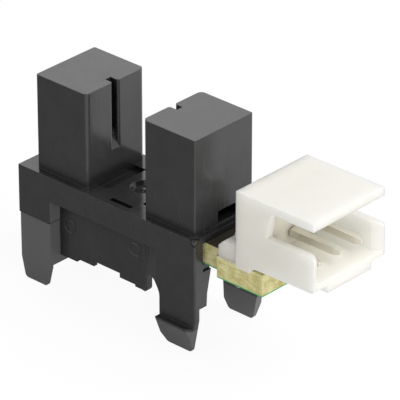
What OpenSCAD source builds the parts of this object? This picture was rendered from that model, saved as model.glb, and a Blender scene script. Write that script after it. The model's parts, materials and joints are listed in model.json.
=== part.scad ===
// Photo interrupter with a snap-in case and a plug socket.
// The light crosses the slot along X, the slot runs along Y, and Z is up.
// The sub-parts are drawn around the middle of the slot, with the base's top face at Z 0,
// and placed() then stands the whole part on its four legs.

/* [Sensing slot] */
// Width of the slot between the two towers
slot_w = 5; // [4.6:0.1:6]
// Width of the light slit in each tower
slit_w = 0.5; // [0.3:0.05:0.7]
// Height of the slit's foot above the base
slit_foot_h = 1.95; // [1.6:0.05:2.2]
// How far the ramp at the slit's foot climbs as it goes in
slit_rise = 1.2; // [0.8:0.1:1.4]
// Radius on the slit's lips
slit_lip_r = 0.2; // [0.1:0.02:0.3]
// Height of the light beam above the base
axis_h = 4.4; // [4.2:0.05:4.7]

/* [Towers] */
// Length of each tower along the light beam
tower_l = 4.5; // [4.3:0.1:5.5]
// Width of the towers along the slot
tower_w = 5.44; // [4.9:0.02:5.8]
// Height of the towers above the base
tower_h = 6.8; // [6.6:0.1:8]
// Thickness of the wall that holds the slit
slit_wall_t = 0.65; // [0.5:0.05:0.8]
// Thickness of the roof over each tower's pocket
roof_t = 0.9; // [0.7:0.05:1]
// Radius on the towers' edges beside the slot
slot_edge_r = 0.36; // [0.2:0.02:0.6]
// Radius on the towers' other upright edges
tower_edge_r = 0.12; // [0.05:0.01:0.2]
// Width of the window in the tower nearest the socket
window_w = 2.1; // [1.5:0.1:2.4]
// Height of that window
window_h = 0.87; // [0.6:0.05:1.1]
// How far the window's middle is off the slot's middle line
window_shift = 0.5; // [0:0.05:0.5]

/* [Base] */
// Width of the base across the slot
base_w = 6.54; // [6.3:0.02:7.2]
// Ledge left beyond the tower at the free end
free_ledge = 1.27; // [1:0.01:1.5]
// Ledge left beyond the tower at the socket end
socket_ledge = 0.48; // [0.3:0.01:0.7]
// Thickness of the deck under the slot
deck_t = 0.44; // [0.35:0.01:0.5]
// Height of the full-width rim
rim_h = 1.8; // [1.5:0.05:2]
// Thickness of the side walls beside the board
wall_t = 0.77; // [0.7:0.01:0.85]
// Thickness of the waist's walls below the board
skirt_t = 0.32; // [0.28:0.01:0.45]
// Width of the narrow waist under the rim
waist_w = 4.62; // [4.5:0.02:4.8]
// Length of the full-width block at the free end
free_block_l = 2.77; // [2.5:0.01:3]
// Length of the full-width block at the socket end
socket_block_l = 3.1; // [2.9:0.01:3.3]
// Length of the curve where the waist widens to that block
flare_l = 2.5; // [2.3:0.01:2.8]
// Radius on the base's upright corners at the socket end
end_edge_r = 0.15; // [0.08:0.01:0.25]
// Diameter of the round dish in the middle of the deck
dish_d = 1.86; // [1.4:0.02:2]
// Depth of the dish and of the recesses at the towers' feet
recess_h = 0.28; // [0.2:0.01:0.3]
// Length of the recesses in the deck at the towers' feet
foot_slot_l = 0.95; // [0.7:0.05:1]
// Width of the recesses in the deck at the towers' feet
foot_slot_w = 3.6; // [3:0.1:3.8]

/* [Legs] */
// Depth of the seat on the panel below the base's top
seat_h = 5.1; // [4.9:0.05:5.4]
// Depth of the shoulder where the free end's legs start
shoulder_h = 3.5; // [3.2:0.05:3.8]
// Depth of the snap hooks' catch faces
catch_h = 6.42; // [6.2:0.02:6.8]
// Depth of the legs' feet, which the part stands on
leg_h = 8.35; // [8:0.05:9]
// Thickness of the springy snap plates
snap_t = 0.45; // [0.35:0.01:0.55]
// How far each hook stands out from its plate
hook_out = 0.44; // [0.3:0.01:0.5]
// Thickness of the hooks' tips
hook_tip_t = 0.22; // [0.18:0.01:0.3]
// Radius on the corners of the feet
foot_r = 0.3; // [0.15:0.01:0.35]
// Width of the relief beside each snap leg
relief_l = 1.83; // [1.6:0.01:1.95]
// Thickness of the plates that end the legs at the free end
foot_plate_t = 0.23; // [0.18:0.01:0.35]

/* [Circuit board] */
// Thickness of the circuit board
board_t = 1.6; // [1.5:0.05:1.6]
// Clearance beside the board inside the waist
tongue_clear = 0.04; // [0.02:0.01:0.1]
// Clearance beside the board inside the socket end
neck_clear = 0.3; // [0.2:0.05:0.4]
// Width of the board under the socket
tail_w = 5.9; // [5.6:0.05:6.2]
// Length of the board under the socket
tail_l = 3.85; // [3.6:0.05:4]
// Gap between the base and the wide end of the board
neck_reach = 1.62; // [1.4:0.05:1.8]
// Clearance between the board's inner end and the case
board_clear = 0.15; // [0.05:0.01:0.25]

/* [Light source and sensor] */
// Thickness of the two moulded devices along the light beam
device_t = 1.9; // [1.7:0.05:2]
// Width of the two moulded devices
device_w = 2.9; // [2.8:0.01:2.98]
// How far each lens stands out
lens_out = 0.5; // [0.4:0.01:0.6]
// Radius of the rim of each lens
lens_r = 0.8; // [0.7:0.01:0.9]
// Height of the devices' lower ends above the base
device_foot_h = 1.3; // [1.2:0.05:1.5]
// Clearance round the devices in their pockets
device_clear = 0.06; // [0.03:0.01:0.1]
// Distance between neighbouring leads
lead_pitch = 1; // [0.96:0.01:1.04]
// Width of a lead where it goes through the board
lead_w = 0.4; // [0.3:0.01:0.42]
// Thickness of the leads
lead_t = 0.25; // [0.2:0.01:0.3]

/* [Socket] */
// Width of the socket housing
socket_w = 6.7; // [6.6:0.02:7.2]
// Length of the socket housing
socket_l = 6.54; // [6.4:0.02:7]
// Height of the socket's top above the board
socket_h = 5.44; // [5.2:0.02:5.8]
// Thickness of the socket's top plate
plate_t = 0.58; // [0.45:0.01:0.7]
// Thickness of the socket's side walls
side_t = 0.6; // [0.5:0.01:0.65]
// Thickness of the socket's back, which holds the contacts
back_t = 1.74; // [1.5:0.02:2]
// Height of the low side walls above the board
side_h = 2.96; // [2.7:0.02:3.2]
// Height of the socket's floor above the board
floor_h = 1.06; // [1:0.02:1.1]
// Gap between the housing and the board, kept open by its feet
standoff = 0.44; // [0.36:0.01:0.5]
// Length of the two feet
socket_foot_l = 1.3; // [1.1:0.02:1.5]
// Length of the guide block behind the housing
guide_l = 1.7; // [1.6:0.02:1.8]
// Height of the guide block above the board
guide_h = 1.3; // [1:0.02:1.34]
// Width of the guide block
guide_w = 6.16; // [6:0.02:6.3]

/* [Contacts and solder] */
// Distance between neighbouring contacts
pin_pitch = 2; // [1.9:0.01:2.05]
// Width of the square contacts
pin_w = 0.5; // [0.45:0.01:0.55]
// Height of the contacts above the board
pin_h = 1.9; // [1.85:0.01:2.1]
// Length of each contact that is bare inside the socket
pin_bare_l = 4.1; // [3.8:0.02:4.2]
// Length of a contact's tapered tip
pin_tip_l = 0.45; // [0.3:0.01:0.6]
// Radius on the inside of the contacts' bends
pin_bend_r = 0.25; // [0.2:0.01:0.3]
// How far contacts and leads reach below the board
tail_out = 0.62; // [0.56:0.02:0.8]
// Clearance round a contact or a lead in its hole
hole_clear = 0.06; // [0.04:0.01:0.08]
// Height of the solder cones
solder_h = 0.42; // [0.3:0.02:0.5]
// Length of the chip resistor and the chip capacitor
chip_l = 1.6; // [1.5:0.05:1.8]
// Width of the chips
chip_w = 0.8; // [0.7:0.05:0.9]
// Height of the chips
chip_h = 0.5; // [0.4:0.05:0.6]

/* [Hidden] */
$fn = 48;

// A cut runs this far past a face, so that it leaves no skin
past = 0.5;

// Places along X, from the free end to the mouth of the socket
slot_x = slot_w/2;
tower_x = slot_x + tower_l;
base_x0 = -(tower_x + free_ledge);
base_x1 = tower_x + socket_ledge;
free_block_x = base_x0 + free_block_l;
socket_block_x = base_x1 - socket_block_l;
waist_x1 = socket_block_x - flare_l;
relief_x0 = socket_block_x - relief_l;
board_x0 = base_x0 + wall_t + board_clear;
neck_x0 = socket_block_x - 0.1;
tail_x0 = base_x1 + neck_reach;
board_x1 = tail_x0 + tail_l;
guide_x0 = tail_x0 + 0.25;
socket_x0 = guide_x0 + guide_l;
socket_x1 = socket_x0 + socket_l;
socket_back_x = socket_x0 + back_t;
contact_x = guide_x0 + guide_l/2;
pin_tip_x = socket_back_x + pin_bare_l;

// Heights
board_z1 = -deck_t;
board_z0 = board_z1 - board_t;
pocket_z1 = tower_h - roof_t;
device_z1 = pocket_z1 - device_clear;

// Half widths
base_y = base_w/2;
waist_y = waist_w/2;
channel_y = waist_y - wall_t;
chamber_y = base_y - wall_t;
tongue_y = channel_y - tongue_clear;
neck_y = chamber_y - neck_clear;

// Pockets in the towers
pocket_x0 = slot_x + slit_wall_t;
pocket_l = lens_out + device_t + 2*device_clear;
device_x0 = pocket_x0 + device_clear + lens_out;
lead_x = device_x0 + device_t/2;
pocket_y = device_w/2 + device_clear;

// Places along X where the waist's lower edge steps, and how far each stretch is below the seat
waist_steps = [[free_block_x, 1.02], [-3.95, 0.78], [-2.4, 0.4], [-0.07, 0.72], [1.32, 0.86]];

// Moves the drawing frame so that the part stands on Z 0 and its middle is on X 0
module placed() {
    translate([-(base_x0 + socket_x1)/2, 0, leg_h]) children();
}

// Both sides of the slot's middle line
module both_sides() {
    children();
    mirror([0, 1, 0]) children();
}

// A box between two corners
module span(x0, x1, y0, y1, z0, z1) {
    translate([x0, y0, z0]) cube([x1 - x0, y1 - y0, z1 - z0]);
}

// An outline drawn in X and Z, as thick along Y as given and centred there
module across(width) {
    translate([0, width/2, 0]) rotate([90, 0, 0]) linear_extrude(width) children();
}

// An outline drawn in Y and Z, drawn out along X from x0 to x1
module along(x0, x1) {
    translate([x0, 0, 0]) rotate([90, 0, 90]) linear_extrude(x1 - x0) children();
}

// A rectangle with a radius of its own on the corners of each end
module round_rect(x0, x1, half_w, r0, r1) {
    for (side = [-1, 1]) {
        translate([x0 + r0, side*(half_w - r0)]) circle(r0);
        translate([x1 - r1, side*(half_w - r1)]) circle(r1);
    }
    translate([x0 + r0, -half_w]) square([x1 - x0 - r0 - r1, 2*half_w]);
    translate([x0, -(half_w - r0)]) square([x1 - x0 - r1, 2*(half_w - r0)]);
    translate([x1 - r1 - past/10, -(half_w - r1)]) square([r1 + past/10, 2*(half_w - r1)]);
}

// The tower at the socket end; the other one is its mirror image
module tower() {
    translate([0, 0, -deck_t])
        linear_extrude(tower_h + deck_t)
            round_rect(slot_x, tower_x, tower_w/2, slot_edge_r, tower_edge_r);
}

// Plan of the light slit: straight sides that open in two rounded lips
module slit_plan() {
    lip = slit_w/2 + slit_lip_r;
    translate([slot_x - past, -slit_w/2]) square([slit_wall_t + past + 0.02, slit_w]);
    difference() {
        translate([slot_x - past, -lip]) square([past + slit_lip_r, 2*lip]);
        for (side = [-1, 1]) {
            translate([slot_x + slit_lip_r, side*lip]) circle(slit_lip_r);
            translate([slot_x + slit_lip_r, side*lip - slit_lip_r]) square(2*slit_lip_r);
        }
    }
}

// Side view of the light slit, with the ramp at its foot
module slit_side() {
    slope = slit_rise/slit_wall_t;
    polygon([[slot_x - past, slit_foot_h - slope*past],
        [slot_x + slit_wall_t + past, slit_foot_h + slit_rise + slope*past],
        [slot_x + slit_wall_t + past, tower_h + past],
        [slot_x - past, tower_h + past]]);
}

module light_slit() {
    intersection() {
        translate([0, 0, slit_foot_h - slit_rise])
            linear_extrude(tower_h + slit_rise) slit_plan();
        across(2*(slit_w + slit_lip_r)) slit_side();
    }
}

// Plan of the case below its rim: two full-width blocks and a waist that flares into one of them
module lower_plan() {
    step = base_y - waist_y;
    turn = 1.2*atan(step/flare_l);
    flare_r = (flare_l*sin(turn) - step*cos(turn))/(2*(1 - cos(turn)));
    run = flare_r*sin(turn);
    rise = flare_r*(1 - cos(turn));
    translate([base_x0, -base_y]) square([free_block_l, base_w]);
    translate([free_block_x - past, -waist_y]) square([socket_block_x - free_block_x + past, waist_w]);
    translate([socket_block_x, -base_y]) square([socket_block_l, base_w]);
    for (side = [-1, 1]) scale([1, side]) {
        difference() {
            polygon([[waist_x1, 0], [waist_x1, waist_y], [waist_x1 + run, waist_y + rise],
                [socket_block_x - run, base_y - rise], [socket_block_x, base_y - rise],
                [socket_block_x, 0]]);
            translate([waist_x1, waist_y + flare_r]) circle(flare_r, $fn = 96);
        }
        intersection() {
            translate([socket_block_x, base_y - flare_r]) circle(flare_r, $fn = 96);
            translate([socket_block_x - run, base_y - 2*rise]) square([run, 2*rise]);
        }
    }
}

// Side view of the case below its rim, with the stepped lower edge, the relief beside the snap
// legs, and the feet
module lower_side() {
    relief_top_h = 4.2;
    relief_r = relief_l/2;
    relief_z = -(relief_top_h + relief_r);
    steps_n = len(waist_steps);
    difference() {
        union() {
            for (i = [0 : steps_n - 1]) {
                x0 = waist_steps[i][0];
                x1 = i < steps_n - 1 ? waist_steps[i + 1][0] : relief_x0;
                translate([x0, -(seat_h + waist_steps[i][1])])
                    square([x1 - x0, seat_h + waist_steps[i][1]]);
            }
            translate([relief_x0, -seat_h]) square([relief_l, seat_h]);
            free_leg_side();
            snap_leg_side();
        }
        translate([relief_x0 + relief_r, relief_z]) circle(relief_r);
        translate([relief_x0, -leg_h]) square([relief_l, leg_h + relief_z]);
        translate([relief_x0, -(seat_h + waist_steps[steps_n - 1][1])]) corner_cut(1.5*foot_r);
    }
}

// What a radius takes off the lower right corner at the origin
module corner_cut(r) {
    difference() {
        translate([-r, -past]) square([r + past, r + past]);
        translate([-r, r]) circle(r);
    }
}

// Side view of a leg at the free end: a plain guide that narrows towards its foot
module free_leg_side() {
    setback = 0.03;
    foot_x0 = base_x0 + 0.31;
    foot_x1 = free_block_x - 0.34;
    taper_h = 1.5;
    hull() {
        translate([base_x0 + setback, -shoulder_h]) square([free_block_l - 2*setback, 0.01]);
        translate([base_x0 + setback, taper_h - leg_h]) square([free_block_l - 2*setback, 0.01]);
        translate([foot_x0 + foot_r, foot_r - leg_h]) circle(foot_r, $fn = 32);
        translate([foot_x1 - foot_r, foot_r - leg_h]) circle(foot_r, $fn = 32);
    }
    translate([base_x0, -shoulder_h]) square([free_block_l, shoulder_h]);
}

// What is taken out of the free end's legs: their outer faces step in and lean inwards, and only
// an outer plate reaches down to the foot
module free_leg_slopes() {
    step_in = 0.08;
    lean = 0.1;
    upright_h = 1;
    plate_h = 1.63;
    both_sides() along(base_x0 - past, free_block_x + past) {
        polygon([[base_y - step_in, -shoulder_h], [base_y + past, -shoulder_h],
            [base_y + past, -(leg_h + past)], [base_y - lean, -(leg_h + past)],
            [base_y - lean, -leg_h], [base_y - step_in, -(shoulder_h + upright_h)]]);
        polygon([[0, plate_h - leg_h], [base_y - lean - foot_plate_t, plate_h - leg_h],
            [base_y - lean - foot_plate_t, -(leg_h + past)], [0, -(leg_h + past)]]);
    }
}

// Side view of a snap leg
module snap_leg_side() {
    bulge_x = socket_block_x + 0.06;
    bulge_h = 0.75;
    foot_x0 = socket_block_x + 0.37;
    foot_x1 = base_x1 - 0.42;
    taper_top_h = seat_h + 0.8;
    hull() {
        translate([socket_block_x, -taper_top_h]) square([socket_block_l, 0.01]);
        translate([socket_block_x, -catch_h]) square([foot_r, 0.01]);
        translate([bulge_x + foot_r, bulge_h - leg_h]) circle(foot_r, $fn = 32);
        translate([foot_x0 + foot_r, foot_r - leg_h]) circle(foot_r, $fn = 32);
        translate([foot_x1 - foot_r, foot_r - leg_h]) circle(foot_r, $fn = 32);
    }
    translate([socket_block_x, -taper_top_h]) square([socket_block_l, taper_top_h]);
}

// End view of one hook, outside the base's side face
module hook_end() {
    polygon([[base_y - snap_t, -catch_h], [base_y + hook_out, -catch_h],
        [base_y - snap_t + hook_tip_t, -leg_h], [base_y - snap_t, -leg_h]]);
}

// Everything below the rim, before it is hollowed
module lower_body() {
    intersection() {
        translate([0, 0, -leg_h]) linear_extrude(leg_h) lower_plan();
        across(base_w) lower_side();
    }
}

// The hooks, which stand out past the base's width, with their outer corner cut off
module hooks() {
    cut = hook_out + 0.1;
    both_sides() difference() {
        intersection() {
            along(socket_block_x, base_x1) hook_end();
            across(2*(base_w + hook_out)) snap_leg_side();
        }
        translate([0, 0, -(leg_h + past)]) linear_extrude(leg_h) polygon([
            [base_x1 - cut, base_y + hook_out], [base_x1, base_y + hook_out - cut],
            [base_x1 + past, base_y + hook_out - cut], [base_x1 + past, base_y + 2*hook_out],
            [base_x1 - cut, base_y + 2*hook_out]]);
    }
}

// What is taken out of the snap legs outside the hooks' slope
module hook_slopes() {
    both_sides() along(socket_block_x - past, base_x1 + past)
        polygon([[base_y + hook_out, -catch_h], [base_y + hook_out, -(leg_h + past)],
            [base_y - snap_t + hook_tip_t, -(leg_h + past)], [base_y - snap_t + hook_tip_t, -leg_h]]);
}

// The hollow under the deck: the board's channel, the chamber at the socket end and the gap
// between the legs
module hollow() {
    rib_top = -(deck_t + board_t);
    rib_lead_in = 0.45;
    rib_reach = 0.12;
    skirt_top = rib_top - 0.65;
    skirt_y = waist_y - skirt_t;
    span(base_x0 + wall_t, neck_x0, -channel_y, channel_y, -(leg_h + past), -deck_t);
    span(base_x0 - past, free_block_x, -channel_y, channel_y, -(leg_h + past), -shoulder_h);
    span(free_block_x + wall_t, neck_x0, -skirt_y, skirt_y, -(leg_h + past), skirt_top);
    span(neck_x0 - 0.1, base_x1 + past, -chamber_y, chamber_y, rib_top, -deck_t);
    span(base_x1 - rib_reach, base_x1 + past, -chamber_y, chamber_y, rib_top - rib_lead_in, -deck_t);
    along(neck_x0 - 0.1, base_x1 + past) polygon([
        for (side = [1, -1], p = side > 0 ? rib_outline(rib_top) : reversed(rib_outline(rib_top)))
            [side*p[0], p[1]]]);
}

// Half of the gap between the two ribs that carry the board, and between the snap plates below
function rib_outline(top) = [[channel_y + 0.2, top + past], [channel_y + 0.2, top - 0.5],
    [channel_y + 0.55, -(seat_h - 0.9)], [channel_y + 0.6, -seat_h],
    [base_y - snap_t, -seat_h], [base_y - snap_t, -(leg_h + past)]];

function reversed(list) = [for (i = [len(list) - 1 : -1 : 0]) list[i]];

// Recesses in the deck inside the slot, none of which goes through it: a dish with a nub in its
// middle, one recess at the foot of each tower, and two grooves
module deck_recesses() {
    groove_l = 1.8;
    groove_w = 0.4;
    nub_r = 0.28;
    rotate_extrude() polygon([[0, past], [dish_d/2, past], [dish_d/2, 0], [0.4*dish_d, -recess_h],
        [nub_r, -recess_h], [nub_r/2, -recess_h/2], [0, -recess_h/2]]);
    for (side = [-1, 1])
        span(side < 0 ? -slot_x : slot_x - foot_slot_l, side < 0 ? foot_slot_l - slot_x : slot_x,
            -foot_slot_w/2, foot_slot_w/2, -recess_h, past);
    both_sides() span(-groove_l/4, groove_l*3/4, tower_w/2 - groove_w/2 - 0.1,
        tower_w/2 + groove_w/2 - 0.1, -recess_h, past);
}

// What the radius takes off the base's upright corners at the socket end
module end_corners() {
    translate([0, 0, -(leg_h + past)]) linear_extrude(leg_h + 2*past)
        for (side = [-1, 1]) scale([1, side]) translate([base_x1, -base_y]) corner_cut(end_edge_r);
}

// The pocket in a tower, open to the board below
module pocket() {
    span(pocket_x0, pocket_x0 + pocket_l, -pocket_y, pocket_y, -deck_t - past, pocket_z1);
}

// Two small nibs that hold the board up in the waist
module board_nibs() {
    nib_l = 1.4;
    nib_out = 0.25;
    both_sides() along(-nib_l/2, nib_l/2) polygon([[channel_y + 0.1, board_z0],
        [channel_y - nib_out, board_z0], [channel_y + 0.1, board_z0 - 2*nib_out]]);
}

module case() {
    color([0.13, 0.13, 0.14]) {
        difference() {
            union() {
                span(base_x0, base_x1, -base_y, base_y, -rim_h, 0);
                lower_body();
                hooks();
                tower();
                mirror([1, 0, 0]) tower();
            }
            hollow();
            hook_slopes();
            free_leg_slopes();
            end_corners();
            deck_recesses();
            for (end = [0, 1]) mirror([end, 0, 0]) {
                pocket();
                light_slit();
            }
            span(tower_x - tower_l/2, tower_x + past, window_shift - window_w/2,
                window_shift + window_w/2, 0.1, 0.1 + window_h);
        }
        board_nibs();
    }
}

// Radius of the hole for a square or flat wire, which clears its corners
function wire_hole_r(width, thick) = norm([width, thick])/2 + hole_clear;

function lead_y(i) = (i - 2)*lead_pitch;
function contact_y(i) = (i - 2)*pin_pitch;

module circuit_board() {
    emitter_pads = [1, 3];
    detector_pads = [1, 2, 3];
    color([0.33, 0.5, 0.28]) difference() {
        translate([0, 0, board_z0]) linear_extrude(board_t) {
            translate([board_x0, -tongue_y]) square([board_x1 - board_x0, 2*tongue_y]);
            translate([neck_x0, -neck_y]) square([board_x1 - neck_x0, 2*neck_y]);
            translate([tail_x0, -tail_w/2]) square([tail_l, tail_w]);
        }
        for (i = emitter_pads) board_hole(-lead_x, lead_y(i), wire_hole_r(lead_w, lead_t));
        for (i = detector_pads) board_hole(lead_x, lead_y(i), wire_hole_r(lead_w, lead_t));
        for (i = [1 : 3]) board_hole(contact_x, contact_y(i), wire_hole_r(pin_w, pin_w));
    }
}

module board_hole(x, y, r) {
    translate([x, y, board_z0 - past]) cylinder(r = r, h = board_t + 2*past);
}

// A moulded device whose lens faces the slot, drawn for the socket end
module device() {
    lens_ball_r = (pow(lens_r, 2) + pow(lens_out, 2))/(2*lens_out);
    back_slope = 0.25;
    across(device_w) polygon([[device_x0, device_foot_h], [device_x0, device_z1],
        [device_x0 + device_t - back_slope, device_z1],
        [device_x0 + device_t, device_z1 - 2*back_slope],
        [device_x0 + device_t, device_foot_h]]);
    intersection() {
        translate([device_x0 - lens_out + lens_ball_r, 0, axis_h]) sphere(lens_ball_r, $fn = 64);
        span(device_x0 - lens_out - past, device_x0 + 0.1, -lens_r, lens_r,
            axis_h - lens_r, axis_h + lens_r);
    }
}

module emitter() {
    color([0.16, 0.14, 0.24]) mirror([1, 0, 0]) device();
}

module detector() {
    color([0.1, 0.1, 0.12]) device();
}

// A flat lead: broad down to the board, then narrow through it
module lead(x, i) {
    broad = 1.5*lead_w;
    translate([0, lead_y(i), 0]) along(x - lead_t/2, x + lead_t/2) polygon([
        [-broad/2, device_foot_h], [broad/2, device_foot_h], [broad/2, board_z1],
        [lead_w/2, board_z1], [lead_w/2, board_z0 - tail_out + lead_w/4],
        [lead_w/4, board_z0 - tail_out], [-lead_w/4, board_z0 - tail_out],
        [-lead_w/2, board_z0 - tail_out + lead_w/4], [-lead_w/2, board_z1], [-broad/2, board_z1]]);
}

module tinned() {
    color([0.78, 0.78, 0.76]) children();
}

// A cone of solder on the board's underside, with the wire's own section left open in it
module solder(x, y, width, thick, base_r) {
    color([0.7, 0.71, 0.72]) difference() {
        translate([x, y, board_z0 - solder_h]) cylinder(r1 = base_r*0.66, r2 = base_r, h = solder_h);
        span(x - thick/2, x + thick/2, y - width/2, y + width/2, board_z0 - tail_out - past, board_z0 + past);
    }
}

module lead_solder(x, i) {
    solder(x, lead_y(i), lead_w, lead_t, lead_pitch*0.46);
}

module contact_solder(i) {
    solder(contact_x, contact_y(i), pin_w, pin_w, pin_pitch*0.31);
}

// Side view of a contact: a bent square wire with tapered ends
module contact_side() {
    z = board_z1 + pin_h;
    r = pin_bend_r;
    low = board_z0 - tail_out;
    half = pin_w/2;
    turn_x = contact_x + half + r;
    turn_z = z - half - r;
    polygon([[turn_x, z - half], [pin_tip_x - pin_tip_l, z - half], [pin_tip_x, z - half/2],
        [pin_tip_x, z + half/2], [pin_tip_x - pin_tip_l, z + half], [turn_x, z + half]]);
    polygon([[contact_x + half, turn_z], [contact_x - half, turn_z], [contact_x - half, low + half],
        [contact_x - half/2, low], [contact_x + half/2, low], [contact_x + half, low + half]]);
    intersection() {
        translate([turn_x, turn_z]) difference() {
            circle(r + pin_w);
            circle(r);
        }
        translate([turn_x - r - pin_w, turn_z]) square(r + pin_w);
    }
}

// Plan of a contact, which narrows it to its tip the other way
module contact_plan() {
    half = pin_w/2;
    polygon([[contact_x - pin_w, -half], [pin_tip_x - pin_tip_l, -half], [pin_tip_x, -half/2],
        [pin_tip_x, half/2], [pin_tip_x - pin_tip_l, half], [contact_x - pin_w, half]]);
}

module contact(i) {
    color([0.8, 0.79, 0.74]) translate([0, contact_y(i), 0]) intersection() {
        across(pin_w) contact_side();
        translate([0, 0, board_z0 - tail_out - past])
            linear_extrude(board_t + tail_out + pin_h + 2*past) contact_plan();
    }
}

// Side view of the housing: a tall back, low side walls and a top plate over the whole length
module socket_side() {
    z0 = board_z1 + standoff;
    z1 = board_z1 + socket_h;
    low_z = board_z1 + side_h;
    cheek_x = socket_back_x + 0.8;
    cheek_lean = 0.47;
    corner_r = 0.25;
    difference() {
        polygon([[socket_x0, board_z1], [socket_x0 + socket_foot_l - 0.15, board_z1],
            [socket_x0 + socket_foot_l, z0], [socket_x1, z0 + 0.12], [socket_x1, low_z],
            [cheek_x, low_z], [cheek_x + cheek_lean, z1 - plate_t], [socket_x1 - 0.1, z1 - plate_t],
            [socket_x1 - 0.1, z1], [socket_x0, z1]]);
        translate([socket_x1, low_z]) scale([1, -1]) corner_cut(corner_r);
        translate([socket_x1, z0 + 0.12]) corner_cut(corner_r);
    }
}

// The plug's room between the side walls, with a lead-in at its mouth
module plug_room() {
    y = socket_w/2 - side_t;
    lead_in = 0.6;
    flare = side_t - 0.2;
    z0 = board_z1 + floor_h;
    translate([0, 0, z0]) linear_extrude(socket_h - plate_t - floor_h) polygon([
        [socket_back_x, -y], [socket_x1 - lead_in, -y], [socket_x1 + 0.01, -(y + flare)],
        [socket_x1 + 0.01, y + flare], [socket_x1 - lead_in, y], [socket_back_x, y]]);
}

// The middle of the floor, which reaches lower than the side walls at the mouth
module socket_keel() {
    keel_w = socket_w*0.62;
    keel_h = 0.28;
    across(keel_w) polygon([[socket_back_x + 0.6, board_z1 + standoff + 0.1],
        [socket_back_x + 0.6, board_z1 + standoff], [board_x1 + 0.1, board_z1 + standoff],
        [board_x1 + 0.1 + keel_h, board_z1 + standoff - keel_h],
        [socket_x1, board_z1 + standoff - keel_h], [socket_x1, board_z1 + floor_h - 0.2],
        [socket_x1 - 0.2, board_z1 + floor_h], [socket_x1 - 1, board_z1 + floor_h]]);
}

module socket_housing() {
    foot_w = 1.2;
    chamfer = 0.4;
    color([0.93, 0.92, 0.88]) difference() {
        union() {
            difference() {
                across(socket_w) socket_side();
                plug_room();
                span(socket_x0 - past, socket_x0 + socket_foot_l + 0.01, foot_w - socket_w/2,
                    socket_w/2 - foot_w, board_z1 - past, board_z1 + standoff);
            }
            socket_keel();
            across(guide_w) polygon([[guide_x0, board_z1], [socket_x0 + 0.1, board_z1],
                [socket_x0 + 0.1, board_z1 + guide_h], [guide_x0 + chamfer, board_z1 + guide_h],
                [guide_x0, board_z1 + guide_h - chamfer]]);
        }
        for (i = [1 : 3]) translate([0, contact_y(i), 0]) contact_room();
    }
}

// The hole that a contact is pressed into
module contact_room() {
    z = board_z1 + pin_h;
    half = pin_w/2;
    span(socket_x0 - past, socket_back_x + past, -half, half, z - half, z + half);
    span(contact_x - half, contact_x + half, -half, half, board_z1 - past, board_z1 + guide_h + past);
}

// A chip soldered flat on the board's underside
module chip(x) {
    span(x - chip_l/2, x + chip_l/2, -chip_w/2, chip_w/2, board_z0 - chip_h, board_z0);
}

module led_resistor() {
    color([0.2, 0.2, 0.22]) chip(-slot_x*0.6);
}

module bypass_capacitor() {
    color([0.62, 0.5, 0.36]) chip(slot_x*0.6);
}

placed() case();
placed() circuit_board();
placed() emitter();
placed() tinned() lead(-lead_x, 1);  // emitter_lead_1
placed() tinned() lead(-lead_x, 3);  // emitter_lead_2
placed() lead_solder(-lead_x, 1);  // emitter_solder_1
placed() lead_solder(-lead_x, 3);  // emitter_solder_2
placed() detector();
placed() tinned() lead(lead_x, 1);  // detector_lead_1
placed() tinned() lead(lead_x, 2);  // detector_lead_2
placed() tinned() lead(lead_x, 3);  // detector_lead_3
placed() lead_solder(lead_x, 1);  // detector_solder_1
placed() lead_solder(lead_x, 2);  // detector_solder_2
placed() lead_solder(lead_x, 3);  // detector_solder_3
placed() socket_housing();
placed() contact(1);  // contact_1
placed() contact(2);  // contact_2
placed() contact(3);  // contact_3
placed() contact_solder(1);  // contact_solder_1
placed() contact_solder(2);  // contact_solder_2
placed() contact_solder(3);  // contact_solder_3
placed() led_resistor();
placed() bypass_capacitor();
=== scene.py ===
# %% [markdown]
# # A photo interrupter with a snap-in case
# The part is 26 mm long. Its solids come from the CAD model and stay as they are. This script
# gives them their finishes, adds the small things that a drawing leaves out, and sets up a light
# studio with a long lens, as for a catalogue picture.

import json
from math import cos, pi, radians, sin

import bmesh
import bpy
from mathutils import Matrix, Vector

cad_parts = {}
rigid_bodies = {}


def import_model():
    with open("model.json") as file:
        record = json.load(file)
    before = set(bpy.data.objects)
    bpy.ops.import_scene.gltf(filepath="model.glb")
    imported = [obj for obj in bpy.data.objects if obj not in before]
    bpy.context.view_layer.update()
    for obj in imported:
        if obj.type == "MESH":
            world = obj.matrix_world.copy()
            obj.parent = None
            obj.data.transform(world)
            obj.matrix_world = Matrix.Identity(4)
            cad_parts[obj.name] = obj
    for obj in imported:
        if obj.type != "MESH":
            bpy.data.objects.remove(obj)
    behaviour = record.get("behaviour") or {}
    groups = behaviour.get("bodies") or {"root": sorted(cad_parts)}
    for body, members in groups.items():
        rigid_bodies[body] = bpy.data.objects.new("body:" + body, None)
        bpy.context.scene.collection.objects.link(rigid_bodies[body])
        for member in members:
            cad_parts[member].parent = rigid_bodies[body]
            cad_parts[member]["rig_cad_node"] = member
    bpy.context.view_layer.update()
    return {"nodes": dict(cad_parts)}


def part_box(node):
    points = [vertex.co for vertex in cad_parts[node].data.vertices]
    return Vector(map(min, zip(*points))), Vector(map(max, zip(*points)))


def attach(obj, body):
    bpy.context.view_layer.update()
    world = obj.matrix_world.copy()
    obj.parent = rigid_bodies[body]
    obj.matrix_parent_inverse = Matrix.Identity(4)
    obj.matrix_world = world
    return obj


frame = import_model()
nodes = frame["nodes"]
MM = 0.001

# %% [markdown]
# ## The camera
# A small part is usually pictured from far away with a long lens, which keeps its parallel edges
# almost parallel. The camera here stands 26 cm off, ten times the part's own length. Its place is
# worked out from two angles, a distance and the point that it looks at, which is easier to read
# and to change than a matrix. The lamps are placed in the same way further down.

# %% Place the camera
AIM = Vector((-1.724, 2.156, 7.593)) * MM
LENS = 360
NEAREST, FARTHEST = 10 * MM, 20000 * MM


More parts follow.
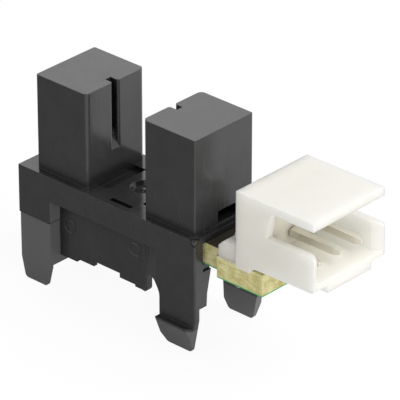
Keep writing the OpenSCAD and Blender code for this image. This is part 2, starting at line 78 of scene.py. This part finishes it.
def face_the_part(thing, azimuth, elevation, distance_mm):
    """Stands a camera or a lamp off from the aim, and turns it to look there."""
    a, e = radians(azimuth), radians(elevation)
    away = Vector((sin(a) * cos(e), -cos(a) * cos(e), sin(e)))
    thing.location = AIM + away * (distance_mm * MM)
    thing.rotation_euler = away.to_track_quat("Z", "Y").to_euler()
    bpy.context.scene.collection.objects.link(thing)


camera_data = bpy.data.cameras.new("camera")
camera_data.lens = LENS
camera_data.clip_start, camera_data.clip_end = NEAREST, FARTHEST
camera = bpy.data.objects.new("camera", camera_data)
face_the_part(camera, azimuth=42.70, elevation=28.26, distance_mm=259.6)
bpy.context.scene.camera = camera
bpy.context.scene.view_settings.view_transform = "Standard"
print("camera at", [round(v / MM, 1) for v in camera.location], "mm")

# %% [markdown]
# ## Shader maths that reads like maths
# A procedural finish is a sum of many small steps, and each step is a node. Written node by node
# it can't be read. Here a small class stands for one socket, and +, -, * and ** on it add the Math
# nodes. Every node comes from one function, which first sets what the node is and then fills or
# links its sockets.

# %% A socket that can be added and multiplied
class Wire:
    """One output socket of a node tree."""

    def __init__(self, tree, socket):
        self.tree, self.socket = tree, socket

    def math(self, operation, *values):
        settings = {"operation": operation}
        return add_node(self.tree, "ShaderNodeMath", settings, numbered=dict(enumerate(values)))

    def __add__(self, other):
        return self.math("ADD", self, other)

    def __radd__(self, other):
        return self.math("ADD", other, self)

    def __sub__(self, other):
        return self.math("SUBTRACT", self, other)

    def __rsub__(self, other):
        return self.math("SUBTRACT", other, self)

    def __mul__(self, other):
        return self.math("MULTIPLY", self, other)

    def __rmul__(self, other):
        return self.math("MULTIPLY", other, self)

    def __pow__(self, other):
        return self.math("POWER", self, other)

    def __abs__(self):
        return self.math("ABSOLUTE", self)

    def most(self, other):
        return self.math("MAXIMUM", self, other)


def put(tree, slot, value):
    """Links a wire to a socket, or writes a plain value into it."""
    if isinstance(value, Wire):
        tree.links.new(value.socket, slot)
    elif isinstance(value, tuple) and len(value) < len(slot.default_value):
        slot.default_value = (*value, 1.0)
    else:
        slot.default_value = value


def add_node(tree, kind, settings=None, output=0, numbered=None, **sockets):
    """Adds a node, sets what it is, fills or links its sockets, and returns one output.

    A socket is called by its name, or by its number where several share a name.
    """
    node = tree.nodes.new(kind)
    for name, value in (settings or {}).items():
        setattr(node, name, value)
    for name, value in sockets.items():
        put(tree, node.inputs[name.replace("_", " ")], value)
    for number, value in (numbered or {}).items():
        put(tree, node.inputs[number], value)
    return Wire(tree, node.outputs[output])


# %% [markdown]
# ## Words for finishes
# Each finish starts from the Principled shader. Its plain colour and roughness are written first,
# and patterns are then linked over them. The patterns are built on Object coordinates, which stay
# with the piece and need no unwrapping. Noise gives spots, a stretched noise gives streaks, and a
# smooth ramp cuts either of them into a mask.

# %% A material and the nodes that finishes share
class Finish:
    """A Principled material, and short words for the nodes that the finishes use."""

    def __init__(self, name, color=(0.8, 0.8, 0.8), roughness=0.5, **constants):
        self.material = bpy.data.materials.new(name)
        self.material.use_nodes = True
        self.tree = self.material.node_tree
        self.shader = self.tree.nodes["Principled BSDF"]
        self.set("Base Color", color)
        self.set("Roughness", roughness)
        for constant, value in constants.items():
            self.set(constant.replace("_", " "), value)
        self.place = self.node("ShaderNodeTexCoord", output="Object")

    def set(self, name, value):
        put(self.tree, self.shader.inputs[name], value)

    def node(self, kind, settings=None, output=0, numbered=None, **sockets):
        return add_node(self.tree, kind, settings, output, numbered, **sockets)

    def axes(self):
        """The place on the part in millimetres, as three wires."""
        split = self.node("ShaderNodeSeparateXYZ", Vector=self.place).socket.node
        return [Wire(self.tree, out) * (1 / MM) for out in split.outputs]

    def stretched(self, x, y, z, lean=0.0):
        """The place on the part in millimetres, leaned in the XZ plane, with each axis scaled."""
        return self.node("ShaderNodeMapping", {"vector_type": "POINT"}, Vector=self.place,
                         Rotation=(0.0, lean, 0.0), Scale=(x / MM, y / MM, z / MM))

    def noise(self, size, detail=2.0, rough=0.5, where=None):
        """Soft random spots about this many millimetres across, from 0 to 1."""
        place = where or self.stretched(1, 1, 1)
        return self.node("ShaderNodeTexNoise", output="Fac", Vector=place,
                         Scale=1 / size, Detail=detail, Roughness=rough)

    def ramp(self, wire, low, high):
        """0 below low, 1 above high, and a smooth rise in between."""
        return self.node("ShaderNodeMapRange", {"interpolation_type": "SMOOTHSTEP"}, "Result",
                         Value=wire, From_Min=low, From_Max=high)

    def blend(self, amount, a, b):
        """Colour a where amount is 0, and colour b where it is 1."""
        color_a, color_b, color_out = 6, 7, 2
        return self.node("ShaderNodeMix", {"data_type": "RGBA"}, color_out,
                         {color_a: a, color_b: b}, Factor=amount)

    def relief(self, height, depth_mm, edge_mm=0.0):
        """Bumps the surface by height, which is 0 to 1, times a depth, over softened edges."""
        sockets = {"Height": height, "Distance": depth_mm * MM, "Strength": 1.0}
        if edge_mm:
            sockets["Normal"] = self.node("ShaderNodeBevel", {"samples": 4}, Radius=edge_mm * MM)
        self.set("Normal", self.node("ShaderNodeBump", **sockets))

    def use_on(self, *names):
        """Puts the material on solids in place of what they have."""
        for name in names:
            nodes[name].data.materials.clear()
            nodes[name].data.materials.append(self.material)
        print(self.material.name, "on", len(names), "solids")


# %% [markdown]
# ## The black case
# The case is one injection moulding in a hard, polished black plastic. Polished black shows little
# of its own colour: what the eye sees is the reflection of the room. So the colour is a dark grey,
# the roughness is low, and the relief is a slow, shallow wave that runs up the walls, the way the
# plastic was drawn out of its mould. Faint streaks and hairlines in the gloss follow the same
# direction. The Bevel node rounds the sharp CAD edges, and those rounded edges catch the light.
# Ambient Occlusion finds the corners, and the colour there is darkened to near black as painted
# shade.

# %% Finish the case
WIPED_BLACK, HAZY_BLACK = (0.039, 0.039, 0.040), (0.045, 0.045, 0.046)
CORNER_REACH = 1.6 * MM
case = Finish("case_plastic", (0.042, 0.042, 0.044), 0.12)
along, across, up = case.axes()
drawn_wave = case.noise(1.0, detail=1.5, where=case.stretched(0.42, 0.42, 0.07))
grain = case.noise(0.12, detail=3.0)
wiped = case.noise(1.6, detail=4.0, rough=0.6)
streaks = case.noise(1.0, detail=3.0, where=case.stretched(0.9, 0.9, 0.05))
streaks = case.ramp(streaks, 0.48, 0.72)
hairlines = case.noise(1.0, detail=1.0, where=case.stretched(14, 14, 0.5, lean=0.6))
hairlines = case.ramp(hairlines, 0.66, 0.72)
# Ambient Occlusion marks the corners whose colour is darkened as painted shade.
open_air = case.node("ShaderNodeAmbientOcclusion", {"samples": 6}, "AO", Distance=CORNER_REACH)
outside_painted_shade = case.ramp(open_air, 0.38, 0.98)
worn = case.blend(case.ramp(wiped, 0.35, 0.75), WIPED_BLACK, HAZY_BLACK)
print("patterns on the case:", len(case.tree.nodes), "nodes so far")

# %% [markdown]
# ## What the mould left on the case
# The mould leaves its own marks. The legs below the shoulder and the hooks come from inserts that
# aren't polished, so they are duller, and a fine line shows where an insert meets the polished
# part.
# Their colour, and that of the step face on the end block, is a lighter grey as painted light. Two
# ejector pins pressed on each side wall and left flat rings. At the socket end the plastic was torn
# off its feed, which left a small rough scar on the corners. None of these changes the outline, so
# each is a mask made from the place on the part, and not a mesh.

# %% Mask the inserts
SHOULDER_Z = 4.85
HOOK_Z = 1.93
HOOK_FROM_Y = 2.75
RIM_Z = 6.55
BLOCK_END_X = -10.16
BLOCK_SIDE_Y = 3.27
free_end = case.ramp(BLOCK_END_X + 0.04 - along, -0.02, 0.02)
# These masks make the legs and the hook slopes duller, and their colour lighter as painted light.
leg_dull_and_painted_light = case.ramp(SHOULDER_Z - up, 0.0, 0.06) * free_end
hook_dull_and_painted_light = case.ramp(HOOK_Z - up, 0.1, 0.25)
hook_dull_and_painted_light = hook_dull_and_painted_light * case.ramp(abs(across), HOOK_FROM_Y, HOOK_FROM_Y + 0.05)
# The step face on the end block gets the same lighter colour, as painted light.
inner_face = case.ramp(along, BLOCK_END_X - 0.03, BLOCK_END_X - 0.01)
inner_face = inner_face * case.ramp(RIM_Z - up, 0, 0.05) * free_end
inner_face = inner_face * case.ramp(BLOCK_SIDE_Y - abs(across), 0.02, 0.04)
dull_and_painted_light = leg_dull_and_painted_light.most(hook_dull_and_painted_light).most(inner_face)
line = (1 - case.ramp(abs(up - SHOULDER_Z), 0.02, 0.09)) * free_end
print("inserts end at z", SHOULDER_Z, "mm on the legs and", HOOK_Z, "mm on the hooks")

# %% Mask the ejector rings and the scar
PIN_MARKS = ((-9.2, 4.75), (-3.35, 5.2))
PIN_RADIUS = 0.45
SIDE_WALL_Y = 2.2
SCAR = (2.8, 3.2, 8.3)
SCAR_REACH = 0.42
rings = 0.0
for x, z in PIN_MARKS:
    from_pin = ((along - x) ** 2 + (up - z) ** 2) ** 0.5
    rings = rings + (1 - case.ramp(abs(from_pin - PIN_RADIUS), 0.03, 0.12))
rings = rings * case.ramp(abs(across), SIDE_WALL_Y - 0.1, SIDE_WALL_Y)
from_scar = (along - SCAR[0]) ** 2 + (abs(across) - SCAR[1]) ** 2 + (up - SCAR[2]) ** 2
scar = 1 - case.ramp(from_scar ** 0.5, 0.6 * SCAR_REACH, SCAR_REACH)
print("ejector rings:", 2 * len(PIN_MARKS), "scars: 2")

# %% Put colour, gloss and relief on the case
# Corners are darkened to near black as painted shade, and the legs, the hook slopes and the end
# block's step face are lightened to grey as painted light.
PAINTED_CORNER_SHADE, PAINTED_LIGHT_GREY = (0.008, 0.008, 0.008), (0.115, 0.115, 0.116)
case.set("Base Color", case.blend(dull_and_painted_light, case.blend(outside_painted_shade, PAINTED_CORNER_SHADE, worn), PAINTED_LIGHT_GREY))
case.set("Roughness", 0.10 + 0.07 * wiped + 0.03 * grain + 0.12 * streaks + 0.12 * hairlines
         + 0.22 * dull_and_painted_light)
height = (0.3 * drawn_wave + 0.008 * grain - 0.9 * line - 0.6 * rings - 0.04 * hairlines
          + 5.0 * scar * case.noise(0.4, detail=2.0))
case.relief(height, depth_mm=0.07, edge_mm=0.06)
case.use_on("case")

# %% [markdown]
# ## The white socket
# The socket housing is natural nylon: a soft, slightly warm white that light goes into and comes
# out of again a millimetre away. That is subsurface scattering, and it is why the sides and the
# inside of such a socket glow instead of turning grey. A brighter colour alone would make its top
# too white before its sides looked right.

# %% Finish the socket housing
NYLON, PALE_NYLON = (0.84, 0.815, 0.72), (0.87, 0.855, 0.775)
socket = Finish("socket_plastic", (0.86, 0.85, 0.80), 0.42, Subsurface_Weight=1.0,
                Subsurface_Radius=(0.9, 1.0, 1.1), Subsurface_Scale=2.2 * MM)
mottle = socket.noise(1.2, detail=3.0)
socket.set("Base Color", socket.blend(mottle, NYLON, PALE_NYLON))
socket.set("Roughness", 0.38 + 0.12 * socket.noise(0.3))
socket.relief(socket.noise(0.08, detail=3.0), depth_mm=0.003, edge_mm=0.07)
socket.use_on("socket_housing")

# %% [markdown]
# ## The circuit board
# A board is glass cloth in resin: straw yellow where it is cut, with broken fibres that run along
# the edge. Its underside has a thin green lacquer, which shows as a bright line along the lower
# edge. On top the lacquer is clear over bare laminate, and under the case its colour is darkened
# as painted shade. The lacquer is too thin to be a piece of its own, so the height on the board
# decides between the colours.

# %% Finish the board
STRAW, PALE_STRAW = (0.50, 0.44, 0.13), (0.80, 0.745, 0.42)
GREEN_COAT, PAINTED_SHADE_COAT, CLEAR_COAT = (0.09, 0.44, 0.15), (0.045, 0.042, 0.025), (0.50, 0.50, 0.20)
BOARD_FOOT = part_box("circuit_board")[0].z / MM
BOARD_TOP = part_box("circuit_board")[1].z / MM
NECK_END_X = 5.4
board = Finish("board_laminate", (0.5, 0.45, 0.2), 0.5)
along, _, height = board.axes()
fibres = board.noise(0.16, detail=4.0, rough=0.6, where=board.stretched(0.35, 0.35, 1.6))
blotches = board.noise(0.7, detail=2.0)
cut = board.blend(board.ramp(0.45 * fibres + 0.55 * blotches, 0.34, 0.64), STRAW, PALE_STRAW)
lower_coat = 1 - board.ramp(height, BOARD_FOOT + 0.05, BOARD_FOOT + 0.13)
upper_coat = board.ramp(height, BOARD_TOP - 0.05, BOARD_TOP - 0.02)
edge = board.blend(lower_coat, cut, GREEN_COAT)
# Towards the case end the top's colour is a dark coat that is painted shade.
upper = board.blend(board.ramp(along, NECK_END_X - 0.3, NECK_END_X), PAINTED_SHADE_COAT, CLEAR_COAT)
board.set("Base Color", board.blend(upper_coat, edge, upper))
board.set("Roughness", 0.55 - 0.25 * lower_coat.most(upper_coat))
board.relief(fibres, depth_mm=0.02)
board.use_on("circuit_board")

# %% [markdown]
# ## The metal
# The contacts and the leads are drawn wire with a coat of tin, and drawing leaves fine lines along
# it. Solder froze from a melt, so it is smoother and has soft swells instead of lines. Both are
# plain metals with a pattern in the gloss, because metal shows its surface only in what it
# reflects.

# %% Finish the metal
tin = Finish("tinned_wire", (0.78, 0.755, 0.68), 0.28, Metallic=1.0)
drawn = tin.noise(0.06, detail=3.0, where=tin.stretched(0.15, 1, 0.4))
tin.set("Roughness", 0.22 + 0.2 * drawn)
tin.relief(drawn, depth_mm=0.004, edge_mm=0.04)
tin.use_on(*[n for n in nodes if "solder" not in n and ("lead" in n or n.startswith("contact_"))])

solder = Finish("solder", (0.68, 0.69, 0.70), 0.22, Metallic=1.0)
flow = solder.noise(0.3, detail=2.0)
solder.set("Roughness", 0.15 + 0.2 * flow)
solder.relief(flow, depth_mm=0.02, edge_mm=0.05)
solder.use_on(*[n for n in nodes if "solder" in n])

# %% [markdown]
# ## The devices and the chips
# The light source and the sensor are moulded in dark resin behind the slits, and the two chips sit
# under the board. Little of them is ever seen, so a plain colour with a varied gloss is enough.

# %% Finish the hidden pieces
resin = Finish("device_resin", (0.02, 0.018, 0.03), 0.25)
resin.set("Roughness", 0.2 + 0.1 * resin.noise(0.4))
resin.use_on("emitter", "detector")

chip = Finish("chip_body", (0.05, 0.05, 0.06), 0.4)
chip.set("Roughness", 0.35 + 0.1 * chip.noise(0.2))
chip.use_on("led_resistor", "bypass_capacitor")

# %% [markdown]
# ## What is soldered on the board's underside
# Round each hole the board has a tinned ring, and thin copper tracks run between the rings and the
# two chips. Rings repeat and tracks follow a path, so Geometry Nodes make both: one tree puts a
# ring on every point of a mesh, and the other lays a flat band along every edge of a mesh. Each
# result is turned into a plain mesh, because the export wants plain meshes.

# %% Helpers for pieces made by Geometry Nodes
WELD = 0.0001 * MM


def geometry_tree(name, sizes):
    """A tree with one number input for each size and a material input, and its input wires."""
    tree = bpy.data.node_groups.new(name, "GeometryNodeTree")
    tree.interface.new_socket(name="Geometry", in_out="INPUT", socket_type="NodeSocketGeometry")
    for size in sizes:
        tree.interface.new_socket(name=size, in_out="INPUT", socket_type="NodeSocketFloat")
    tree.interface.new_socket(name="Finish", in_out="INPUT", socket_type="NodeSocketMaterial")
    tree.interface.new_socket(name="Geometry", in_out="OUTPUT", socket_type="NodeSocketGeometry")
    start = tree.nodes.new("NodeGroupInput")
    return tree, {out.name: Wire(tree, out) for out in start.outputs if out.name}


def end_tree(tree, shape, finish):
    """Turns instances into real faces, gives them a material and hands them out."""
    real = add_node(tree, "GeometryNodeRealizeInstances", Geometry=shape)
    done = add_node(tree, "GeometryNodeSetMaterial", Geometry=real, Material=finish)
    put(tree, tree.nodes.new("NodeGroupOutput").inputs["Geometry"], done)


def grow(name, tree, points, edges, slot, **values):
    """Runs a tree on points and edges given in millimetres, and keeps the result as a mesh."""
    seed = bpy.data.meshes.new(name + "_seed")
    seed.from_pydata([Vector(p) * MM for p in points], edges, [])
    piece = bpy.data.objects.new(name, seed)
    bpy.context.scene.collection.objects.link(piece)
    modifier = piece.modifiers.new(name, "NODES")
    modifier.node_group = tree
    for item in tree.interface.items_tree:
        if item.in_out == "INPUT" and item.name in values:
            value = values[item.name]
            modifier[item.identifier] = value * MM if isinstance(value, float) else value
    graph = bpy.context.evaluated_depsgraph_get()
    mesh = bpy.data.meshes.new_from_object(piece.evaluated_get(graph))
    piece.modifiers.clear()
    piece.data = mesh
    shell = bmesh.new()
    shell.from_mesh(mesh)
    bmesh.ops.remove_doubles(shell, verts=shell.verts, dist=WELD)
    bmesh.ops.recalc_face_normals(shell, faces=shell.faces)
    shell.to_mesh(mesh)
    shell.free()
    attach(piece, "root")
    size = [round((max(c) - min(c)) / MM, 2) for c in zip(*(v.co for v in mesh.vertices))]
    print(name, "faces", len(mesh.polygons), "size in mm", size)


# %% Put a tinned ring round each hole
ring_tree, ask = geometry_tree("ring_on_points", ("Radius", "Width", "Thickness"))
middle = add_node(ring_tree, "GeometryNodeCurvePrimitiveCircle", Radius=ask["Radius"],
                  Resolution=32)
section = add_node(ring_tree, "GeometryNodeCurvePrimitiveQuadrilateral", Width=ask["Width"],
                   Height=ask["Thickness"])
ring = add_node(ring_tree, "GeometryNodeCurveToMesh", Curve=middle, Profile_Curve=section)
rings = add_node(ring_tree, "GeometryNodeInstanceOnPoints", Points=ask["Geometry"], Instance=ring)
end_tree(ring_tree, rings, ask["Finish"])

PAD_RADIUS, PAD_WIDTH, PAD_THICKNESS = 0.55, 0.3, 0.04
holes = {}
for name in nodes:
    if "solder" in name:
        low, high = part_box(name)
        holes[name] = ((low.x + high.x) / 2 / MM, (low.y + high.y) / 2 / MM)
pad_z = BOARD_FOOT - PAD_THICKNESS / 2
grow("solder_rings", ring_tree, [(x, y, pad_z) for x, y in holes.values()], [], "solder",
     Radius=PAD_RADIUS, Width=PAD_WIDTH, Thickness=PAD_THICKNESS, Finish=solder.material)

# %% [markdown]
# ## Copper tracks
# A track is copper foil under green lacquer, and it runs in straight steps from a ring to a ring
# or to a chip. Each one is written as a chain of places on the board in millimetres. Written that
# way, a track starts at its hole even when the hole moves.

# %% Make the tree that lays a band
band_tree, ask = geometry_tree("band_along_edges", ("Width", "Thickness"))
path = add_node(band_tree, "GeometryNodeMeshToCurve", Mesh=ask["Geometry"])
flat = add_node(band_tree, "GeometryNodeSetCurveNormal", {"mode": "Z_UP"}, Curve=path)
section = add_node(band_tree, "GeometryNodeCurvePrimitiveQuadrilateral", Width=ask["Width"],
                   Height=ask["Thickness"])
band = add_node(band_tree, "GeometryNodeCurveToMesh", Curve=flat, Profile_Curve=section,
                Fill_Caps=True)
end_tree(band_tree, band, ask["Finish"])
print("band tree:", len(band_tree.nodes), "nodes")

# %% Lay the copper tracks
DARK_GREEN, MID_GREEN = (0.05, 0.26, 0.09), (0.08, 0.34, 0.13)
TRACK_WIDTH, TRACK_THICKNESS = 0.35, 0.03
lacquer = Finish("lacquered_copper", (0.06, 0.30, 0.11), 0.3)
lacquer.set("Base Color", lacquer.blend(lacquer.noise(0.5), DARK_GREEN, MID_GREEN))
chips = {name: [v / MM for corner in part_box(name) for v in corner]
         for name in ("led_resistor", "bypass_capacitor")}


def end_of(chip_name, side):
    """The middle of a chip's end: side -1 is the end with the smaller x, 1 the other."""
    x0, y0, _, x1, y1, _ = chips[chip_name]
    return (x0 if side < 0 else x1, (y0 + y1) / 2)


ROUTES = (
    (holes["emitter_solder_1"], (-8.2, -1.0), (-7.6, -0.4), (-7.6, 0.0),
     end_of("led_resistor", -1)),
    (end_of("led_resistor", 1), (-4.9, 0.0), (-4.5, 1.6), (1.9, 1.6), (2.6, 2.0),
     holes["contact_solder_3"]),
    (holes["emitter_solder_2"], (-8.4, 1.9), (-5.6, 1.9), (-4.3, 0.9),
     end_of("bypass_capacitor", -1)),
    (end_of("bypass_capacitor", 1), (-1.4, 0.0), holes["detector_solder_2"], (3.4, 0.0),
     holes["contact_solder_2"]),
    (holes["detector_solder_1"], (1.6, -1.0), (2.6, -2.0), holes["contact_solder_1"]),
)
points, edges = [], []
for route in ROUTES:
    for step, (x, y) in enumerate(route):
        if step:
            edges.append((len(points) - 1, len(points)))
        points.append((x, y, BOARD_FOOT - TRACK_THICKNESS / 2))
grow("copper_tracks", band_tree, points, edges, "board_laminate",
     Width=TRACK_WIDTH, Thickness=TRACK_THICKNESS, Finish=lacquer.material)

# %% [markdown]
# ## End caps
# A chip resistor and a chip capacitor carry a tinned cap on each end, which is what is soldered.
# A cap is a short box with rounded edges, a hair larger than the chip, written out in mesh code.

# %% Cap both chips
CAP_LENGTH, CAP_PROUD, CAP_EDGE = 0.3, 0.02, 0.05
BOX_FACES = ((0, 2, 3, 1), (4, 5, 7, 6), (0, 1, 5, 4), (2, 6, 7, 3), (0, 4, 6, 2), (1, 3, 7, 5))
caps = bmesh.new()
for x0, y0, z0, x1, y1, z1 in chips.values():
    for start, end in ((x0 - CAP_PROUD, x0 + CAP_LENGTH), (x1 - CAP_LENGTH, x1 + CAP_PROUD)):
        corners = [caps.verts.new(Vector((x, y, z)) * MM)
                   for z in (z0 - CAP_PROUD, z1)
                   for y in (y0 - CAP_PROUD, y1 + CAP_PROUD)
                   for x in (start, end)]
        for face in BOX_FACES:
            caps.faces.new([corners[i] for i in face])
bmesh.ops.bevel(caps, geom=caps.edges[:], offset=CAP_EDGE * MM, segments=3, profile=0.5,
                affect="EDGES")
bmesh.ops.recalc_face_normals(caps, faces=caps.faces)
cap_mesh = bpy.data.meshes.new("chip_end_caps")
caps.to_mesh(cap_mesh)
caps.free()
cap_mesh.materials.append(solder.material)
end_caps = bpy.data.objects.new("chip_end_caps", cap_mesh)
bpy.context.scene.collection.objects.link(end_caps)
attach(end_caps, "root")
print("end caps:", len(cap_mesh.polygons), "faces")

# %% [markdown]
# ## The studio's sky
# The camera sees floor and sky as plain white, and so do mirror rays, while the light that falls
# on the part stays at a plain level. Light Path tells the kinds of rays apart.

# %% Make the sky
SKY_LIGHT = 0.48


def ray_kinds(tree):
    """Three wires that are 1 for rays from the camera, from gloss and through glass."""
    rays = tree.nodes.new("ShaderNodeLightPath")
    kinds = ("Is Camera Ray", "Is Glossy Ray", "Is Transmission Ray")
    return [Wire(tree, rays.outputs[kind]) for kind in kinds]


world = bpy.data.worlds.new("sky")
bpy.context.scene.world = world
world.use_nodes = True
sky = world.node_tree.nodes["Background"]
put(world.node_tree, sky.inputs["Color"], (1.0, 1.0, 1.0))
from_camera, from_gloss, through_glass = ray_kinds(world.node_tree)
seen = from_camera.most(from_gloss).most(through_glass)
put(world.node_tree, sky.inputs["Strength"], SKY_LIGHT + (1 - SKY_LIGHT) * seen)
print("sky gives", SKY_LIGHT, "and looks like 1")

# %% [markdown]
# ## The studio's floor
# In a studio the paper in front of a part gets less light than the paper behind it. A polished
# black part shows that at once, because its upright faces mirror the floor beside them. So the
# floor that mirror rays see is dark on the part's near side, and white behind the part and
# beyond its near corner at the socket end. The floor keeps the part's shadow. From below it is
# clear, so that the underside can be looked at too.

# %% Say what mirror rays see on the floor
MIRRORED_NEAR, MIRRORED_FAR = 0.14, 1.0
paper = Finish("floor_paper")
along, across, _ = paper.axes()
from_camera, from_gloss, through_glass = ray_kinds(paper.tree)
behind = paper.ramp(0.5 * along + 0.87 * across, -4, 6)
to_the_right = paper.ramp(along, 2, 5) * paper.ramp(0 - across, 6, 8)
mirrored = MIRRORED_NEAR + (MIRRORED_FAR - MIRRORED_NEAR) * behind.most(to_the_right)
print("mirrored floor glows from", MIRRORED_NEAR, "to", MIRRORED_FAR)

# %% Make the floor
FLOOR_HALF, FLOOR_Z = 400 * MM, -0.01 * MM
FLOOR_GREY = (0.8, 0.8, 0.8)
WHITE_SHARE, WHITE_GLOW = 0.9, 1.03
floor_mesh = bpy.data.meshes.new("floor")
floor_corners = [(x * FLOOR_HALF, y * FLOOR_HALF, FLOOR_Z)
                 for x, y in ((-1, -1), (1, -1), (1, 1), (-1, 1))]
floor_mesh.from_pydata(floor_corners, [], [(0, 1, 2, 3)])
floor = bpy.data.objects.new("floor", floor_mesh)
bpy.context.scene.collection.objects.link(floor)
matt = paper.node("ShaderNodeBsdfDiffuse", Color=FLOOR_GREY)
glow = paper.node("ShaderNodeEmission",
                  Strength=WHITE_GLOW - (WHITE_GLOW - mirrored) * from_gloss)
glowing = WHITE_SHARE * from_camera.most(from_gloss).most(through_glass)
both = paper.node("ShaderNodeMixShader", numbered={1: matt, 2: glow}, Fac=glowing)
below = paper.node("ShaderNodeNewGeometry", output="Backfacing") * from_camera
clear = paper.node("ShaderNodeBsdfTransparent")
surface = paper.node("ShaderNodeMixShader", numbered={1: both, 2: clear}, Fac=below)
put(paper.tree, paper.tree.nodes["Material Output"].inputs["Surface"], surface)
paper.tree.nodes.remove(paper.shader)
floor_mesh.materials.append(paper.material)
print("floor:", round(2 * FLOOR_HALF / MM), "mm wide")

# %% [markdown]
# ## The lamps
# Three softboxes light the part: a key from the socket's side, a low card near the camera that
# fills the fronts, and a weak one behind. Large boxes give soft shadows and wide, even reflections.
# Each one's power is worked out from how bright its face should look, so that its size can change
# without changing the look of a reflection.

# %% Hang the lamps
def softbox(name, azimuth, elevation, distance_mm, side_mm, brightness):
    """A square lamp that looks at the part, as bright as a white wall times this."""
    data = bpy.data.lights.new(name, "AREA")
    data.shape, data.size = "SQUARE", side_mm * MM
    data.energy = brightness * pi * data.size**2
    lamp = bpy.data.objects.new(name, data)
    lamp.visible_camera = False
    face_the_part(lamp, azimuth, elevation, distance_mm)
    print(name, "gives", round(data.energy, 3), "W")


softbox("key_box", azimuth=106, elevation=48, distance_mm=500, side_mm=280, brightness=5.5)
softbox("front_card", azimuth=60, elevation=12, distance_mm=500, side_mm=260, brightness=4.6)
softbox("back_box", azimuth=222.97, elevation=27.9, distance_mm=500, side_mm=380, brightness=0.5)
